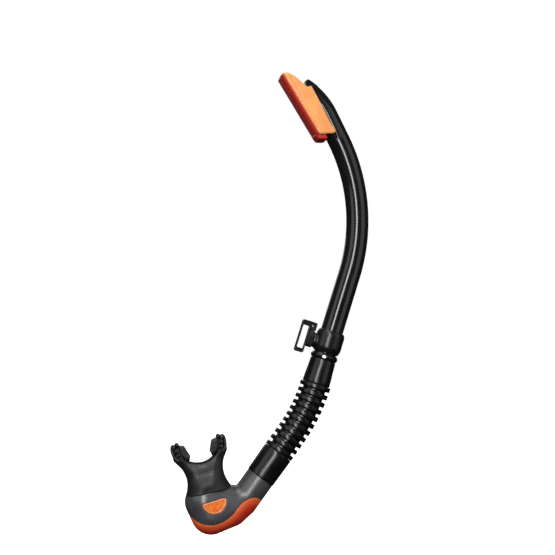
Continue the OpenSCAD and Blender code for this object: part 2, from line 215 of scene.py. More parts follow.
def round_cone(p, a, b):
    """Two balls (x, z, radius) in the plane, and the cone that wraps them."""
    dx, dz, drop = b[0] - a[0], b[1] - a[1], a[2] - b[2]
    length = math.hypot(dx, dz)
    slope = drop / length
    h = ((p[0] - a[0]) * dx + (p[2] - a[1]) * dz) / length
    k = np.sqrt(np.maximum((p[0] - a[0]) ** 2 + (p[2] - a[1]) ** 2 - h * h, 0) + p[1] ** 2)
    t = np.clip(h - slope * k / math.sqrt(1 - slope * slope), 0, length)
    return np.hypot(h - t, k) - (a[2] - slope * t)


def three_balls(p, a, b, c):
    """The skin stretched over three balls (x, z, radius) whose centres lie in the plane."""
    edges = np.array([[b[0] - a[0], b[1] - a[1]], [c[0] - a[0], c[1] - a[1]]])
    slope = np.linalg.solve(edges, np.array([b[2] - a[2], c[2] - a[2]]))
    depth = np.abs(p[1]) / math.sqrt(1 - slope @ slope)
    u, w = p[0] + slope[0] * depth - a[0], p[2] + slope[1] * depth - a[1]
    inverse = np.linalg.inv(edges.T)
    s = inverse[0, 0] * u + inverse[0, 1] * w
    t = inverse[1, 0] * u + inverse[1, 1] * w
    face = depth - (a[2] + slope[0] * u + slope[1] * w)
    rims = least(round_cone(p, a, b), round_cone(p, b, c), round_cone(p, a, c))
    return np.where((s >= 0) & (t >= 0) & (s + t <= 1), face, rims)


def polygon(u, v, points):
    """Signed distance to a closed flat outline."""
    near = np.full(np.shape(u), 1e9)
    inside = np.zeros(np.shape(u), bool)
    for i, (bu, bv) in enumerate(points):
        au, av = points[i - 1]
        eu, ev = bu - au, bv - av
        t = np.clip(((u - au) * eu + (v - av) * ev) / (eu * eu + ev * ev), 0, 1)
        near = np.minimum(near, np.hypot(u - au - t * eu, v - av - t * ev))
        if av != bv:
            inside ^= ((av > v) != (bv > v)) & (u < eu * (v - av) / ev + au)
    return np.where(inside, -near, near)


# ---- meshes ----

def make_object(name, vertices, faces, normals, body, material, node):
    """Makes a mesh that stands for a CAD node, and hangs it on its body if it has one."""
    mesh = bpy.data.meshes.new(name)
    mesh.from_pydata((np.asarray(vertices) / M).tolist(), [], np.asarray(faces).tolist())
    mesh.polygons.foreach_set("use_smooth", [True] * len(mesh.polygons))
    mesh.update()
    if normals is not None:
        mesh.normals_split_custom_set_from_vertices(normals.tolist())
    piece = bpy.data.objects.new(name, mesh)
    bpy.context.scene.collection.objects.link(piece)
    mesh.materials.append(material)
    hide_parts(node)
    if body:
        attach(piece, body)
    return piece


def surface(form, low, high, cell):
    """The zero surface of a form between two corners: surface nets, then a few steps onto the form."""
    def field(p):
        return most(form(p), *(most(low[i] - p[i], p[i] - high[i]) for i in range(3)))

    axes = [np.arange(low[i] - 2 * cell, high[i] + 3 * cell, cell) for i in range(3)]
    value = field(np.meshgrid(*axes, indexing="ij"))
    inside = value < 0
    shape = tuple(n - 1 for n in value.shape)
    corners = [(i, j, k) for i in (0, 1) for j in (0, 1) for k in (0, 1)]

    def corner(grid, c):
        return grid[tuple(slice(c[i], c[i] + shape[i]) for i in range(3))]

    count = sum(corner(inside, c).astype(np.int8) for c in corners)
    active = np.argwhere((count > 0) & (count < 8))
    total, crossings = np.zeros((len(active), 3)), np.zeros(len(active))
    for c in corners:
        for axis in range(3):
            if c[axis]:
                continue
            far = tuple(c[i] + (i == axis) for i in range(3))
            a, b = value[tuple((active + c).T)], value[tuple((active + far).T)]
            cross = (a < 0) != (b < 0)
            t = np.where(cross, a / np.where(cross, a - b, 1), 0)
            place = np.tile(np.array(c, float), (len(active), 1))
            place[:, axis] += t
            total[cross] += place[cross]
            crossings += cross
    start = np.array([axis[0] for axis in axes])
    points = start + cell * (active + total / crossings[:, None])
    index = np.full(shape, -1)
    index[tuple(active.T)] = np.arange(len(active))
    faces = []
    for axis in range(3):
        b, c = (axis + 1) % 3, (axis + 2) % 3
        ahead = tuple(slice(1, None) if i == axis else slice(None) for i in range(3))
        here = tuple(slice(None, -1) if i == axis else slice(None) for i in range(3))
        edges = np.argwhere(inside[here] != inside[ahead])
        out = inside[here][tuple(edges.T)]
        step_b, step_c = np.eye(3, dtype=int)[b], np.eye(3, dtype=int)[c]
        ring = [edges - step_b - step_c, edges - step_c, edges, edges - step_b]
        quad = np.stack([index[tuple(r.T)] for r in ring], axis=1)
        quad[~out] = quad[~out][:, ::-1]
        faces.append(quad)
    for _ in range(3):
        d = field(points.T)
        slope = np.empty_like(points)
        for axis in range(3):
            shift = np.zeros(3)
            shift[axis] = cell / 20
            slope[:, axis] = (field((points + shift).T) - field((points - shift).T)) / (cell / 10)
        size = np.maximum((slope ** 2).sum(1), 0.2)
        points -= np.clip(d / size, -cell / 3, cell / 3)[:, None] * slope
    normals = slope / np.maximum(np.linalg.norm(slope, axis=1), 1e-6)[:, None]
    return points, np.concatenate(faces), normals


def soften(points, radius, steps=4):
    """Rounds the corners of a closed outline. A point may give its own radius as a third number."""
    out = []
    for i, point in enumerate(points):
        p = np.array(point[:2], float)
        before = np.array(points[i - 1][:2], float)
        after = np.array(points[(i + 1) % len(points)][:2], float)
        r = point[2] if len(point) > 2 else radius
        a, b = before - p, after - p
        la, lb = np.linalg.norm(a), np.linalg.norm(b)
        cut = min(r, 0.45 * la, 0.45 * lb)
        if cut <= 0:
            out.append(p)
            continue
        a, b = p + a / la * cut, p + b / lb * cut
        for k in range(steps + 1):
            t = k / steps
            out.append((1 - t) ** 2 * a + 2 * t * (1 - t) * p + t ** 2 * b)
    return out


def turned(outline, path, segments=96, longest=2.5):
    """Turns a closed outline of (station, radius) points about a path that may bend."""
    dense = []
    for i, b in enumerate(outline):
        a = np.array(outline[i - 1], float)
        pieces = max(1, math.ceil(abs(b[0] - a[0]) / longest))
        dense += [a + (np.array(b) - a) * k / pieces for k in range(1, pieces + 1)]
    angles = np.arange(segments) * 2 * math.pi / segments
    vertices = []
    for station, radius in dense:
        (x, z), lean = path(station)
        a = math.radians(lean)
        out = radius * np.cos(angles)
        vertices.append(np.stack([x + out * math.cos(a), radius * np.sin(angles),
                                  z - out * math.sin(a)], axis=1))
    rings, n = len(dense), segments
    i, j = np.meshgrid(np.arange(rings), np.arange(n), indexing="ij")
    nxt, side = (i + 1) % rings, (j + 1) % n
    faces = np.stack([i * n + j, i * n + side, nxt * n + side, nxt * n + j], axis=-1).reshape(-1, 4)
    return np.concatenate(vertices), faces, None


# ---- materials ----

class Nodes:
    """A short way to build a node tree: add() makes a node and links or sets its inputs."""

    def __init__(self, name):
        self.material = bpy.data.materials.new(name)
        self.material.use_nodes = True
        self.tree = self.material.node_tree
        self.shader = self.tree.nodes["Principled BSDF"]
        self.place = self.add("ShaderNodeTexCoord").outputs["Object"]

    def add(self, kind, **settings):
        node = self.tree.nodes.new(kind)
        for key, value in settings.items():
            setattr(node, key, value)
        return node

    def feed(self, node, **inputs):
        for key, value in inputs.items():
            socket = node.inputs[key.replace("_", " ")]
            if isinstance(value, bpy.types.NodeSocket):
                self.tree.links.new(value, socket)
            else:
                socket.default_value = value
        return node

    def noise(self, scale, detail=3.0, rough=0.5, stretch=(1, 1, 1)):
        """Smooth noise, 0 to 1. The scale is in cells a metre."""
        mapping = self.feed(self.add("ShaderNodeMapping"), Vector=self.place, Scale=stretch)
        texture = self.feed(self.add("ShaderNodeTexNoise"), Vector=mapping.outputs[0],
                            Scale=scale, Detail=detail, Roughness=rough)
        return texture.outputs["Fac"]

    def span(self, value, low, high, from_low=0.3, from_high=0.7):
        """Maps a value from one span to another."""
        node = self.feed(self.add("ShaderNodeMapRange", clamp=True), Value=value)
        limits = (("From Min", from_low), ("From Max", from_high), ("To Min", low), ("To Max", high))
        for key, number in limits:
            node.inputs[key].default_value = number
        return node.outputs[0]

    def mix(self, factor, a, b):
        node = self.add("ShaderNodeMix", data_type="RGBA")
        node.inputs[0].default_value = 0.5
        for socket, value in ((node.inputs[0], factor), (node.inputs[6], a), (node.inputs[7], b)):
            if isinstance(value, bpy.types.NodeSocket):
                self.tree.links.new(value, socket)
            else:
                socket.default_value = value if isinstance(value, float) else (*value, 1.0)
        return node.outputs[2]

    def bump(self, *layers):
        """Stacks (height, strength, distance in metres) layers of bump."""
        normal = None
        for height, strength, distance in layers:
            node = self.add("ShaderNodeBump")
            self.feed(node, Height=height, Strength=strength, Distance=distance)
            if normal:
                self.feed(node, Normal=normal)
            normal = node.outputs[0]
        self.feed(self.shader, Normal=normal)


def moulded(name, colour, rough, grain=0.15, tint=0.12, coat=0.0, glow=0.0, bright=None, painted_shade=None):
    """Moulded plastic or rubber: slightly uneven colour and gloss, faint flow waves and a fine grain.

    Patches lean towards the bright colour. A darker colour is painted in as shade where the mesh's
    attribute of that name says so.
    """
    n = Nodes(name)
    cloud = n.noise(38, 4)
    dust = n.noise(900, 2)
    smudge = n.noise(75, 5, 0.6)
    dark = tuple(c * (1 - tint) for c in colour)
    light = bright or tuple(min(1.0, c * (1 + tint) + 0.002) for c in colour)
    base = n.mix(n.span(cloud, 0.0, 1.0), dark, light)
    edge = n.span(n.add("ShaderNodeNewGeometry").outputs["Pointiness"], 0.0, 0.35, 0.52, 0.60)
    worn = tuple(min(1.0, c * 1.35 + 0.012) for c in colour)
    base = n.mix(edge, base, worn)
    # Painted shade: a darker colour mixed in where the mesh's attribute asks for it
    if painted_shade:
        base = n.mix(n.add("ShaderNodeAttribute", attribute_name="painted_shade").outputs["Fac"], base, painted_shade)
    n.bump((n.noise(110, 2), 0.10, 0.00035), (n.noise(2600, 3, 0.65), grain, 0.00012))
    rough_map = n.add("ShaderNodeMath", operation="ADD")
    n.tree.links.new(n.span(smudge, rough * 0.78, rough * 1.25), rough_map.inputs[0])
    n.tree.links.new(n.span(dust, -0.02, 0.03), rough_map.inputs[1])
    n.tree.links.new(base, n.shader.inputs["Base Color"])
    n.tree.links.new(rough_map.outputs[0], n.shader.inputs["Roughness"])
    n.shader.inputs["Coat Weight"].default_value = coat
    n.shader.inputs["Coat Roughness"].default_value = 0.06
    n.shader.inputs["Subsurface Weight"].default_value = glow
    n.shader.inputs["Subsurface Radius"].default_value = (0.003, 0.003, 0.003)
    n.shader.inputs["Subsurface Scale"].default_value = 1.0
    return n.material


def turned_steel():
    n = Nodes("turned_steel")
    rings = n.noise(3000, 2, 0.5, (1, 0.2, 1))
    n.bump((rings, 0.15, 0.00005))
    n.tree.links.new(n.span(n.noise(300, 3), 0.16, 0.34), n.shader.inputs["Roughness"])
    n.tree.links.new(n.mix(n.span(rings, 0.0, 1.0), (0.55, 0.56, 0.58), (0.78, 0.79, 0.80)),
                     n.shader.inputs["Base Color"])
    n.shader.inputs["Metallic"].default_value = 1.0
    return n.material


def speckled():
    """The badge's inlay: a paler rim round a field of fine orange and dark red speckles."""
    n = Nodes("speckled_inlay")
    rim = n.add("ShaderNodeAttribute", attribute_name="rim").outputs["Fac"]
    cells = n.feed(n.add("ShaderNodeTexVoronoi"), Vector=n.place, Scale=620.0)
    scatter = n.span(n.noise(520, 4, 0.7), 0.0, 1.0, 0.38, 0.62)
    grains = n.mix(scatter, (0.82, 0.17, 0.018), (0.52, 0.05, 0.006))
    field = n.mix(n.span(cells.outputs["Distance"], 0.0, 0.55, 0.1, 0.9), grains, (0.86, 0.25, 0.025))
    base = n.mix(rim, field, (0.80, 0.30, 0.12))
    n.tree.links.new(base, n.shader.inputs["Base Color"])
    n.tree.links.new(n.span(n.noise(700, 3), 0.18, 0.42), n.shader.inputs["Roughness"])
    n.bump((n.noise(520, 4, 0.7), 0.5, 0.00025), (cells.outputs["Distance"], 0.25, 0.0002))
    n.shader.inputs["Coat Weight"].default_value = 0.6
    n.shader.inputs["Coat Roughness"].default_value = 0.08
    return n.material


gloss_black = moulded("gloss_black", (0.0055, 0.0055, 0.006), 0.16, grain=0.02, coat=0.3)
satin_black = moulded("satin_black", (0.004, 0.004, 0.0045), 0.27, grain=0.06)
dull_black = moulded("dull_black", (0.006, 0.006, 0.007), 0.40, grain=0.2)
hose_black = moulded("hose_black", (0.0035, 0.0035, 0.004), 0.25, grain=0.03)
charcoal = moulded("charcoal", (0.047, 0.045, 0.049), 0.34, grain=0.05)
charcoal.node_tree.nodes["Principled BSDF"].inputs["Specular IOR Level"].default_value = 1.0
# The hood, the cover and the mouthpiece each get a darker colour below, painted in as shade
hood_orange = moulded("hood_orange", (0.82, 0.27, 0.085), 0.42, grain=0.01, tint=0.10,
                      bright=(0.86, 0.40, 0.09), painted_shade=(0.44, 0.018, 0.010))
cover_orange = moulded("cover_orange", (0.74, 0.12, 0.026), 0.30, grain=0.02, tint=0.12, coat=0.2,
                       painted_shade=(0.46, 0.022, 0.010))
mouth_black = moulded("mouth_black", (0.0095, 0.0095, 0.010), 0.46, grain=0.3, tint=0.2,
                      painted_shade=(0.0035, 0.003, 0.003))
silicone = moulded("clear_silicone", (0.62, 0.62, 0.60), 0.4, grain=0.2, glow=0.4)
steel = turned_steel()
inlay = speckled()


# ---- barrel, with its spine, rails and hook ----

S_BEND_TOP = BEND_START + BEND_R * math.radians(BARREL_LEAN - TOP_LEAN)
S_MOUTH = S_BEND_TOP + TOP_LENGTH
S_TIP = S_MOUTH + CURL_R * math.radians(TOP_LEAN - TIP_LEAN)
RAIL_FOOT = S_BEND_TOP - 12
RAIL_HALF = HOOD_HALF - HOOD_WALL - 0.1
RAIL_W = 3.1
RAIL_FADE = 22  # length over which a rail grows out of the barrel
RAIL_CROWN_R = 8
SPINE_FRONT = -2.6
JOURNAL_BORE_R = 8.2
PIN_STATION = -13
PIN_GROOVE_R = 9
PIN_GROOVE_HALF = 1.6
HOOK_HALF = 10.2
HOOK_ROUND = 0.9
# Side view of the hook's tip, in the hood's frame
HOOK_SIDE = [(18.4, 48.2), (19.9, 44.2), (23.0, 44.1), (26.5, 41.5), (33, 40), (26, 50.3), (21.2, 50)]
# Side view of the room that the hood's closed top takes up, in the same frame
HOOD_SEAT = [(-5, 39.4), (23.5, 39.4), (23.5, 42.6), (19.5, 43.6), (17.9, 48.8), (14.7, 58.4),
             (5, 72), (-5, 72)]
BEND_CENTRE = along(BEND_FOOT, BARREL_LEAN, 0, -BEND_R)
CURL_CENTRE = along(MOUTH, TOP_LEAN, 0, -CURL_R)


def barrel_place(p):
    """How far a point is to the side of the barrel's bent axis, and its station along it."""
    side, _, station = local(p, AXIS_FOOT, BARREL_LEAN)

    def on_arc(centre, radius, start_lean, start):
        dx, dz = p[0] - centre[0], p[2] - centre[1]
        lean = np.degrees(np.arctan2(-dz, dx))
        return np.hypot(dx, dz) - radius, start + radius * np.radians(start_lean - lean), lean

    bend_side, bend_station, lean = on_arc(BEND_CENTRE, BEND_R, BARREL_LEAN, BEND_START)
    top_side, _, top_station = local(p, BEND_TOP, TOP_LEAN)
    curl_side, curl_station, _ = on_arc(CURL_CENTRE, CURL_R, TOP_LEAN, S_MOUTH)
    in_line, in_bend, in_top = station < BEND_START, lean > TOP_LEAN, top_station < TOP_LENGTH
    side = np.where(in_line, side, np.where(in_bend, bend_side, np.where(in_top, top_side, curl_side)))
    station = np.where(in_line, station, np.where(in_bend, bend_station, np.where(
        in_top, S_BEND_TOP + top_station, curl_station)))
    return side, station


def barrel_field(p):
    side, station = barrel_place(p)
    y = np.abs(p[1])
    r = np.hypot(side, y)
    stem = most(r - BARREL_R, SHOULDER - station)
    journal = most(r - JOURNAL_R, JOURNAL_END - station)
    pin_groove = most(np.abs(station - PIN_STATION) - PIN_GROOVE_HALF, PIN_GROOVE_R - r)
    outside = most(smooth_min(stem, journal, 0.4), -pin_groove)
    bore = r - np.where(station < SHOULDER + 3, JOURNAL_BORE_R, BORE_R)
    tube = smooth_max(smooth_max(outside, -bore, 0.6), station - S_MOUTH, 0.8)

    # The rear of the tube runs on as a spine
    shell = smooth_max(smooth_max(r - BARREL_R, BORE_R - r, 0.6), SPINE_FRONT - side, 0.6)
    spine = smooth_max(most(shell, S_MOUTH - 6 - station), station - S_TIP, 1.5)

    # A rail on each side, with a slightly crowned face
    fade = np.clip((station - RAIL_FOOT) / RAIL_FADE, 0, 1)
    ease = fade * fade * (3 - 2 * fade)
    lip = RAIL_HALF - 3 * (1 - ease) - (side - 0.4) ** 2 / (2 * RAIL_CROWN_R)
    rail = box2(side - SPINE_FRONT - RAIL_W / 2, y, RAIL_W / 2, lip, 0.6)
    rail = smooth_max(most(rail, RAIL_FOOT - station, BORE_R - r), station - S_TIP + 2, 2.5)

    v, _, u = local(p, HOOD_FOOT, HOOD_LEAN)
    top = smooth_max(smooth_min(least(tube, spine), rail, 1.2), -polygon(v, u, HOOD_SEAT), 0.3)
    hook = slab(polygon(v, u, HOOK_SIDE) + HOOK_ROUND, y, HOOK_HALF, 0.8) - HOOK_ROUND
    return smooth_min(top, smooth_max(hook, r - BARREL_R, 0.5), 1.2)


# ---- splash hood ----

# Side view of a cheek and the top, from front to rear and from foot to top, each corner with its radius
HOOD_SIDE = soften([(1.5, -1.2, 0), (4.6, -2.5, 0), (17.6, -8.9, 2), (20.9, -8.6, 2), (21, 6, 4),
                    (22.4, 22, 4), (23.3, 37, 4), (23.3, 42.4, 1.5), (19.3, 43.3, 1), (17.7, 48.6, 2),
                    (14.2, 58.6, 5), (10.6, 64.9, 5), (5.5, 67.2, 4), (1.5, 66.3, 3.5)], 0, 5)
HOOD_OPEN = 39.5  # height up to which its back is open
HOOD_DEPTH = 50  # more than it has, so that its plan is open behind
HOOD_CORNER_R = 6.5
CHIN_HALF = 11
CHIN_BACK = 10.9
CHIN_CENTRE = (10.7, -1.6)
CHIN_R = 8.15
CHIN_STRETCH = 1.129
GROOVE_FRONT = 7.8  # the groove along each cheek, from the hood's frame, at the hood's foot
GROOVE_SLOPE = 2.4 / 60


def hood_plan(v, y, inset, corner):
    """Plan of the hood, from outside or, with the wall as an inset, from inside."""
    half_depth = HOOD_DEPTH / 2
    return box2(v - HOOD_FRONT - inset - half_depth, y, half_depth, HOOD_HALF - inset, corner)


def hood_field(p):
    v, y, u = local(p, HOOD_FOOT, HOOD_LEAN)
    y = np.abs(y)
    side = polygon(v, u, HOOD_SIDE)
    plan = hood_plan(v, y, 0, HOOD_CORNER_R)
    inner_plan = hood_plan(v, y, HOOD_WALL, HOOD_CORNER_R - HOOD_WALL)
    behind = smooth_max(most(v - 60, u - HOOD_OPEN), HOOD_FRONT - v + 4, 1)
    room = smooth_max(smooth_min(side + HOOD_WALL, behind, 0.5), inner_plan, 1.5)
    room = least(room, most(u - 8, inner_plan))
    shell = smooth_max(smooth_max(side, plan, 2.5), -room, 0.7)
    groove = np.hypot(y - HOOD_HALF - 1.7, v - GROOVE_FRONT - GROOVE_SLOPE * u) - 2.1
    shell = smooth_max(shell, -smooth_max(groove, np.abs(u - 31) - 29, 2), 0.6)

    # The chin, a cup that curls in under the front
    curl = np.hypot((v - CHIN_CENTRE[0]) / CHIN_STRETCH, u - CHIN_CENTRE[1]) - CHIN_R
    chin = smooth_max(smooth_max(curl, y - CHIN_HALF, 3), plan, 1.5)
    cup = smooth_max(curl + HOOD_WALL, y - CHIN_HALF + HOOD_WALL, 2)
    chin = smooth_max(smooth_max(chin, -cup, 0.5), most(u + 0.5, v - CHIN_BACK), 0.5)
    return smooth_min(shell, chin, 0.8)


# ---- keeper, swivel and strap loop ----

AXIS_OUT = 25.8  # from the middle of the strap slot to the barrel's axis
RUNNING_R = 10.95  # bore of the parts that turn on the barrel
BOSS_R = 7.2
BOSS_MIDDLE = 14.2
BOSS_HALF = 3.2
HUB_FRONT = 4.6
HUB_BACK = 10.2
HUB_R = 8.2
HUB_RIDGES = 20
HUB_RIDGE = 0.75
DISH_R = 4
DISH_DEPTH = 2.25
STUD_BORE_R = 2.35
LOOP_HALF_T = 2.2
SLOT_HALF_W = 3
SLOT_HALF_L = 11.3
GRIP_PITCH = 1.8
GRIP_RIDGE = 0.16
# The arm round the hub, and the brace in its corner, seen from the side
ARM_TOP = (6, 14.7, 4.2, 1.6)
ARM_END = (8.6, 12.4, 1.6, 3.9)
BRACE = [(3.0, 13.4), (5.2, 13.4), (8.0, 8.6), (4.4, 8.0), (3.4, 8.6)]


def on_barrel(p):
    """Side and height from the strap slot, in the barrel's own lean."""
    return local(p, (0, 0), BARREL_LEAN)


def revolved(up, r, outline):
    """A ring with a closed (height, radius, corner radius) outline."""
    return polygon(up + 0 * r, r, soften(outline, 0))


def collar_field(p):
    side, y, up = on_barrel(p)
    r = np.hypot(side - AXIS_OUT, y)
    body = revolved(up, r, [(COLLAR_FOOT, 12.0, 0.8), (COLLAR_FOOT + 4.2, COLLAR_R, 2.5),
                            (COLLAR_TOP - 3, COLLAR_R, 2), (COLLAR_TOP, 12.3, 0.9),
                            (COLLAR_TOP, RUNNING_R, 0), (COLLAR_FOOT, RUNNING_R, 0)])
    boss = slab(np.hypot(y, up) - BOSS_R, side - BOSS_MIDDLE, BOSS_HALF, 0.5)
    return smooth_max(smooth_min(body, boss, 1.0), RUNNING_R - r, 0.2)


def hub_field(p):
    side, y, up = on_barrel(p)
    r = np.hypot(y, up)
    valley = 0.5 - 0.5 * np.cos(HUB_RIDGES * np.arctan2(y, up))
    middle, half = (HUB_FRONT + HUB_BACK) / 2, (HUB_BACK - HUB_FRONT) / 2
    disc = slab(r - HUB_R + HUB_RIDGE * valley, side - middle, half, 0.5)
    dish = most(r - DISH_R, side - HUB_FRONT - DISH_DEPTH)
    ring = most(np.abs(r - 5.6) - 0.45, side - HUB_FRONT - 0.5)
    return smooth_max(smooth_max(smooth_max(disc, -dish, 0.4), -ring, 0.3), STUD_BORE_R - r, 0.1)


def loop_field(p):
    side, y, up = on_barrel(p)

    def bar(middle_side, middle_up, half_side, half_up):
        return box2(side - middle_side, up - middle_up, half_side, half_up, 0.5)

    def pocket(middle_side, middle_up, half_side, half_up, depth):
        outline = box2(side - middle_side, up - middle_up, half_side, half_up, 0.6)
        return slab(outline, np.abs(y) - LOOP_HALF_T, depth, 0.2)

    frame_shape = box2(side + 0.2, up - 0.5, 4.7, 15.8, 1.9)
    flat = smooth_max(frame_shape, -box2(side, up, SLOT_HALF_W, SLOT_HALF_L, 0.9), 0.3)
    flat = smooth_min(flat, least(bar(*ARM_TOP), bar(*ARM_END)), 0.8)
    flat = smooth_min(flat, polygon(side, up, BRACE), 0.8)
    grip = GRIP_RIDGE * np.cos(np.clip(up, -11, 11) * 2 * math.pi / GRIP_PITCH)
    gripped = (side < -SLOT_HALF_W - 0.2) & (np.abs(up) < 10.8)
    body = slab(flat, y, LOOP_HALF_T, 0.55) + np.where(gripped, grip, 0)
    body = smooth_max(body, -pocket(2.4, 13.9, 3.2, 0.9, 0.6), 0.3)
    return smooth_max(body, -pocket(0, -13.4, 2.6, 0.8, 0.5), 0.3)


# ---- hose and its connector ----

PIN_TURN = math.radians(-10)
PIN_HOLE_R = 1.42
PIN_RECESS_R = 2.4
SLEEVE_R = 11.1
SLEEVE_FOOT = -37
CONNECTOR_BORE_R = 9.65
HOSE_SOCKET_R = 11.15
SPIGOT_SOCKET_R = 12.05
HOSE_END_GAP = 0.12
RIBS = 11
FIRST_RIB = 2.45
RIB_HOLLOW = 1.5  # how far each rib is hollow inside


def connector_field(p):
    side, y, up = on_barrel(p)
    side = side - AXIS_OUT
    r = np.hypot(side, y)
    sleeve = most(r - SLEEVE_R, SLEEVE_FOOT - up, up + 12)
    flange = revolved(up, r, [(FLANGE_FOOT, 5, 0), (FLANGE_FOOT, 12.1, 1.2), (-13.6, 13.3, 1.5),
                              (-12.0, 13.3, 1.5), (-9.5, 11.8, 1), (-9.4, 5, 0)])
    seal_seat = most(r - 11.3, -11.2 - up)
    body = most(smooth_min(sleeve, flange, 0.4), CONNECTOR_BORE_R - r, -seal_seat)
    across_pin = side * math.cos(PIN_TURN) + y * math.sin(PIN_TURN)
    along_pin = side * math.sin(PIN_TURN) - y * math.cos(PIN_TURN)
    from_pin = np.hypot(across_pin, up - PIN_STATION)
    recess = most(from_pin - PIN_RECESS_R, 11.4 - along_pin)
    hole = most(from_pin - PIN_HOLE_R, 5 - along_pin)
    return smooth_max(smooth_max(body, -recess, 0.4), -hole, 0.2)


def hose_path(station):
    """A point on the hose's axis, by its distance below the upper cuff's foot, and the lean there."""
    bend_length = HOSE_BEND_R * math.radians(NECK_LEAN - BARREL_LEAN)
    if station < 0:
        return along(HOSE_TOP, BARREL_LEAN, -station), BARREL_LEAN
    if station < bend_length:
        lean = BARREL_LEAN + math.degrees(station / HOSE_BEND_R)
        return arc_end(HOSE_TOP, BARREL_LEAN, lean, HOSE_BEND_R), lean
    return along(HOSE_BEND_FOOT, NECK_LEAN, bend_length - station), NECK_LEAN


def hose_outline():
    """Half outline of the hose, upper cuff first, as (distance below the upper cuff's foot, radius)."""
    foot = HOSE_BEND_R * math.radians(NECK_LEAN - BARREL_LEAN) + STRAIGHT_HOSE
    end = foot + LOWER_CUFF - HOSE_END_GAP
    top = CUFF_FOOT - CUFF_TOP
    half = RIB_T / 2
    centres = [FIRST_RIB + (foot - 2 * FIRST_RIB) * i / (RIBS - 1) for i in range(RIBS)]
    outer = [(top, 12.35, 0.7), (top + 9, 12.7, 3), (-2.5, 13.45, 1.5), (0, 13.3, 0.6)]
    for centre in centres:
        outer += [(centre - half - 0.2, GROOVE_R, 0.6), (centre - half, RIB_R, 0.6),
                  (centre + half, RIB_R, 0.6), (centre + half + 0.2, GROOVE_R, 0.6)]
    outer += [(foot, 14.6, 0.6), (foot + 2.5, 14.85, 1.5), (foot + 15, 14.65, 4), (end, 14.4, 0.5)]
    inner = [(end, SPIGOT_SOCKET_R, 0.3), (foot + 4, SPIGOT_SOCKET_R, 0.2), (foot + 4, HOSE_BORE_R, 0.5)]
    hollow_r = HOSE_BORE_R + RIB_HOLLOW
    for centre in reversed(centres):
        inner += [(centre + 1.2, HOSE_BORE_R, 0.5), (centre + 0.7, hollow_r, 0.4),
                  (centre - 0.7, hollow_r, 0.4), (centre - 1.2, HOSE_BORE_R, 0.5)]
    inner += [(-2.9, HOSE_BORE_R, 0.3), (-2.9, HOSE_SOCKET_R, 0.2), (top, HOSE_SOCKET_R, 0.3)]
    return soften(outer + inner, 0.5, 3)


# ---- chamber, cover and badges ----

NECK_TIP = (*NECK_END, NECK_R)
WALL_IN = COVER_T + COVER_GAP  # how far the chamber's wall steps in under the cover
CROTCH_FILLET = 3
NECK_BORE_R = 10.2
SPIGOT_R = 12
SPIGOT_LENGTH = 24.5
WELL_WALL = 1.4
PORT_RING_R = 13.4
PORT_RING_TOP = 7.6
PORT_FLAT = 4  # half the straight part between the port's round ends
# The cover's upper edge: two arcs (x, z, radius), a level line and its end up the neck
COVER_HUMP = (5, -60, 45)
COVER_HOLLOW = (-48.5, -14.5, 27)
COVER_LEVEL = -32.1
COVER_TIP = 11.5
SLOTS = 4
SLOT_PITCH = 4.4
BADGE_CENTRE = (-45.4, -19.0)
BADGE_LEAN = -11
BADGE_R = 11.7
BADGE_DEPTH = 1.1
BADGE_RIM = 0.35
BADGE_RIM_WIDTH = 0.45


def in_chamber(p):
    """Coordinates from the seam between the neck and the hose."""
    return np.array([p[0] - SEAM[0], p[1], p[2] - SEAM[1]])


def pod(q, inset=0.0):
    balls = (LOBE_LEFT, LOBE_LOW, LOBE_RIGHT, NECK_TIP)
    left, low, right, tip = ((x, z, radius - inset) for x, z, radius in balls)
    return least(three_balls(q, left, low, right), three_balls(q, left, right, tip))


def neck(q, inset=0.0):
    across, y, up = local(q, NECK_END, NECK_LEAN)
    return most(np.hypot(across, y) - NECK_R + inset, -up, up - NECK_LENGTH)


def cover_zone(q):
    """Below 0 where the cover lies: a band along the keel that rises over a hump to the neck."""
    hump = np.hypot(q[0] - COVER_HUMP[0], q[2] - COVER_HUMP[1]) - COVER_HUMP[2]
    hollow = COVER_HOLLOW[2] - np.hypot(q[0] - COVER_HOLLOW[0], q[2] - COVER_HOLLOW[1])
    tip = 0.75 * (local(q, NECK_END, NECK_LEAN)[2] - COVER_TIP)
    return smooth_max(smooth_max(smooth_min(hump, q[2] - COVER_LEVEL, 7), hollow, 5), tip, 4)


def skin(q, inset=0.0):
    """The outer form that the chamber and its cover share, with a fillet in the crotch only."""
    across, _, _ = local(q, NECK_END, NECK_LEAN)
    fillet = 0.02 + CROTCH_FILLET * np.clip(0.4 - across / 10, 0, 1)
    return smooth_min(pod(q, inset), neck(q, inset), fillet)


def badge_zone(q):
    """Below 0 inside the badge's outline, half a disc under a slightly wavy brow."""
    across, _, up = local(q, BADGE_CENTRE, BADGE_LEAN)
    disc = np.hypot(across, up + 0.2) - BADGE_R
    brow = up + 0.2 - 0.54 * np.sin(across / 22 * math.pi)
    return smooth_max(disc, brow, 2.6)


def stadium(across, y, radius):
    """The port's outline, two half rings joined by straights."""
    return np.hypot(np.maximum(np.abs(across) - PORT_FLAT, 0), y) - radius


